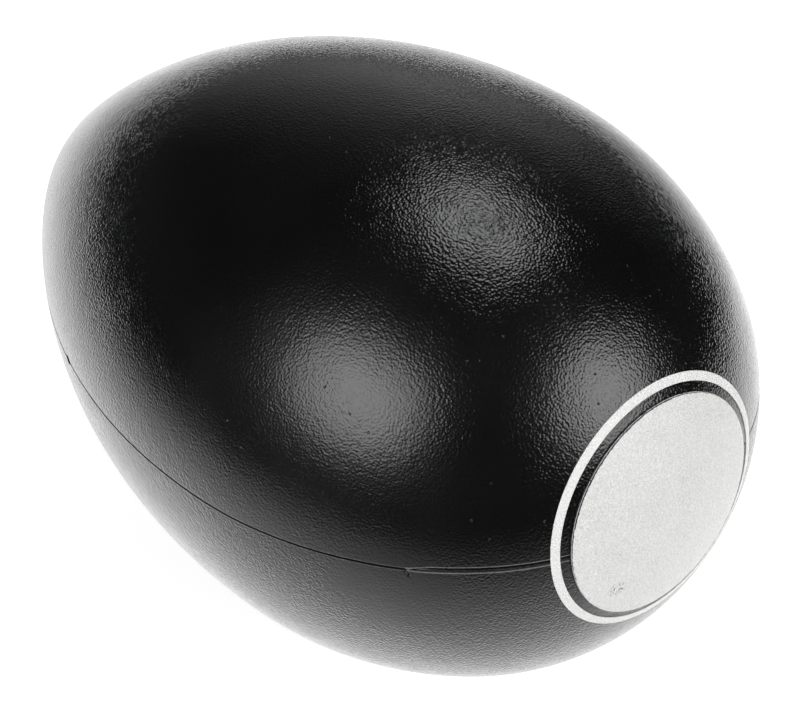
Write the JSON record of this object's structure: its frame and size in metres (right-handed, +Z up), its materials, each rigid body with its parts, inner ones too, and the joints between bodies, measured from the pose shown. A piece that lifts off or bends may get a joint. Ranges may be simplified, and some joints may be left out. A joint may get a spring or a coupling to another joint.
{
  "type": "egg shaker",
  "caption": "Egg-shaped hand shaker: grained black plastic half shells welded along a lengthwise seam, loose steel shot inside, a white printed disc and ring on the blunt end.",
  "frame": {"origin": "on the table plane that the egg lies on, under the middle of its length", "axes": "+X towards the blunt printed end, +Z up from the table, Y across; the seam plane holds the Y direction and the long axis, which dips 5.3 degrees towards the pointed end as the egg lies at rest"},
  "size_m": [0.0636, 0.0434, 0.0436],
  "materials": {
    "black_plastic": "satin black moulded plastic with a fine spark-eroded grain",
    "white_ink": "satin white print that follows the grain",
    "steel_shot": "ground and tumbled bright steel"
  },
  "bodies": {
    "shell": {"upper_shell": "black_plastic", "lower_shell": "black_plastic", "badge_disc": "white_ink", "badge_ring": "white_ink"},
    "row_1": {"shot_row_1": "steel_shot"},
    "row_2": {"shot_row_2": "steel_shot"},
    "row_3": {"shot_row_3": "steel_shot"},
    "row_4": {"shot_row_4": "steel_shot"},
    "row_5": {"shot_row_5": "steel_shot"},
    "row_6": {"shot_row_6": "steel_shot"},
    "row_7": {"shot_row_7": "steel_shot"},
    "row_8": {"shot_row_8": "steel_shot"},
    "row_9": {"shot_row_9": "steel_shot"},
    "row_10": {"shot_row_10": "steel_shot"},
    "row_11": {"shot_row_11": "steel_shot"},
    "row_12": {"shot_row_12": "steel_shot"},
    "row_13": {"shot_row_13": "steel_shot"},
    "ball_1": {"loose_ball_1": "steel_shot"},
    "ball_2": {"loose_ball_2": "steel_shot"},
    "ball_3": {"loose_ball_3": "steel_shot"},
    "ball_4": {"loose_ball_4": "steel_shot"},
    "ball_5": {"loose_ball_5": "steel_shot"},
    "ball_6": {"loose_ball_6": "steel_shot"},
    "ball_7": {"loose_ball_7": "steel_shot"},
    "ball_8": {"loose_ball_8": "steel_shot"},
    "ball_9": {"loose_ball_9": "steel_shot"},
    "ball_10": {"loose_ball_10": "steel_shot"},
    "ball_11": {"loose_ball_11": "steel_shot"},
    "ball_12": {"loose_ball_12": "steel_shot"},
    "ball_13": {"loose_ball_13": "steel_shot"}
  },
  "joints": [
    {"name": "row_1_roll", "type": "hinge", "parent": "shell", "child": "row_1", "pos_m": [0.00637, 0, 0.02182], "axis": [0.9957, 0, 0.0924], "continuous": true},
    {"name": "row_2_roll", "type": "hinge", "parent": "shell", "child": "row_2", "pos_m": [0.00637, 0, 0.02182], "axis": [0.9957, 0, 0.0924], "continuous": true},
    {"name": "row_3_roll", "type": "hinge", "parent": "shell", "child": "row_3", "pos_m": [0.00637, 0, 0.02182], "axis": [0.9957, 0, 0.0924], "continuous": true},
    {"name": "row_4_roll", "type": "hinge", "parent": "shell", "child": "row_4", "pos_m": [0.00637, 0, 0.02182], "axis": [0.9957, 0, 0.0924], "continuous": true},
    {"name": "row_5_roll", "type": "hinge", "parent": "shell", "child": "row_5", "pos_m": [0.00637, 0, 0.02182], "axis": [0.9957, 0, 0.0924], "continuous": true},
    {"name": "row_6_roll", "type": "hinge", "parent": "shell", "child": "row_6", "pos_m": [0.00637, 0, 0.02182], "axis": [0.9957, 0, 0.0924], "continuous": true},
    {"name": "row_7_roll", "type": "hinge", "parent": "shell", "child": "row_7", "pos_m": [0.00637, 0, 0.02182], "axis": [0.9957, 0, 0.0924], "continuous": true},
    {"name": "row_8_roll", "type": "hinge", "parent": "shell", "child": "row_8", "pos_m": [0.00637, 0, 0.02182], "axis": [0.9957, 0, 0.0924], "continuous": true},
    {"name": "row_9_roll", "type": "hinge", "parent": "shell", "child": "row_9", "pos_m": [0.00637, 0, 0.02182], "axis": [0.9957, 0, 0.0924], "continuous": true},
    {"name": "row_10_roll", "type": "hinge", "parent": "shell", "child": "row_10", "pos_m": [0.00637, 0, 0.02182], "axis": [0.9957, 0, 0.0924], "continuous": true},
    {"name": "row_11_roll", "type": "hinge", "parent": "shell", "child": "row_11", "pos_m": [0.00637, 0, 0.02182], "axis": [0.9957, 0, 0.0924], "continuous": true},
    {"name": "row_12_roll", "type": "hinge", "parent": "shell", "child": "row_12", "pos_m": [0.00637, 0, 0.02182], "axis": [0.9957, 0, 0.0924], "continuous": true},
    {"name": "row_13_roll", "type": "hinge", "parent": "shell", "child": "row_13", "pos_m": [0.00637, 0, 0.02182], "axis": [0.9957, 0, 0.0924], "continuous": true},
    {"name": "ball_1_leap", "type": "slide", "parent": "row_1", "child": "ball_1", "axis": [-0.0924, 0, 0.9957], "range_m": [0, 0.02175]},
    {"name": "ball_2_leap", "type": "slide", "parent": "row_2", "child": "ball_2", "axis": [-0.0899, -0.2287, 0.9693], "range_m": [0, 0.02493]},
    {"name": "ball_3_leap", "type": "slide", "parent": "row_3", "child": "ball_3", "axis": [-0.0893, 0.2555, 0.9627], "range_m": [0, 0.02473]},
    {"name": "ball_4_leap", "type": "slide", "parent": "row_4", "child": "ball_4", "axis": [-0.0924, 0, 0.9957], "range_m": [0, 0.0268]},
    {"name": "ball_5_leap", "type": "slide", "parent": "row_5", "child": "ball_5", "axis": [-0.0888, -0.2764, 0.9569], "range_m": [0, 0.02559]},
    {"name": "ball_6_leap", "type": "slide", "parent": "row_6", "child": "ball_6", "axis": [-0.0891, 0.2639, 0.9604], "range_m": [0, 0.0267]},
    {"name": "ball_7_leap", "type": "slide", "parent": "row_7", "child": "ball_7", "axis": [-0.0924, 0, 0.9957], "range_m": [0, 0.02736]},
    {"name": "ball_8_leap", "type": "slide", "parent": "row_8", "child": "ball_8", "axis": [-0.0893, -0.2547, 0.9629], "range_m": [0, 0.02758]},
    {"name": "ball_9_leap", "type": "slide", "parent": "row_9", "child": "ball_9", "axis": [-0.0892, 0.2586, 0.9618], "range_m": [0, 0.0272]},
    {"name": "ball_10_leap", "type": "slide", "parent": "row_10", "child": "ball_10", "axis": [-0.0924, 0, 0.9957], "range_m": [0, 0.02603]},
    {"name": "ball_11_leap", "type": "slide", "parent": "row_11", "child": "ball_11", "axis": [-0.0898, -0.236, 0.9676], "range_m": [0, 0.02683]},
    {"name": "ball_12_leap", "type": "slide", "parent": "row_12", "child": "ball_12", "axis": [-0.0891, 0.2642, 0.9603], "range_m": [0, 0.02389]},
    {"name": "ball_13_leap", "type": "slide", "parent": "row_13", "child": "ball_13", "axis": [-0.0924, 0, 0.9957], "range_m": [0, 0.02217]}
  ]
}
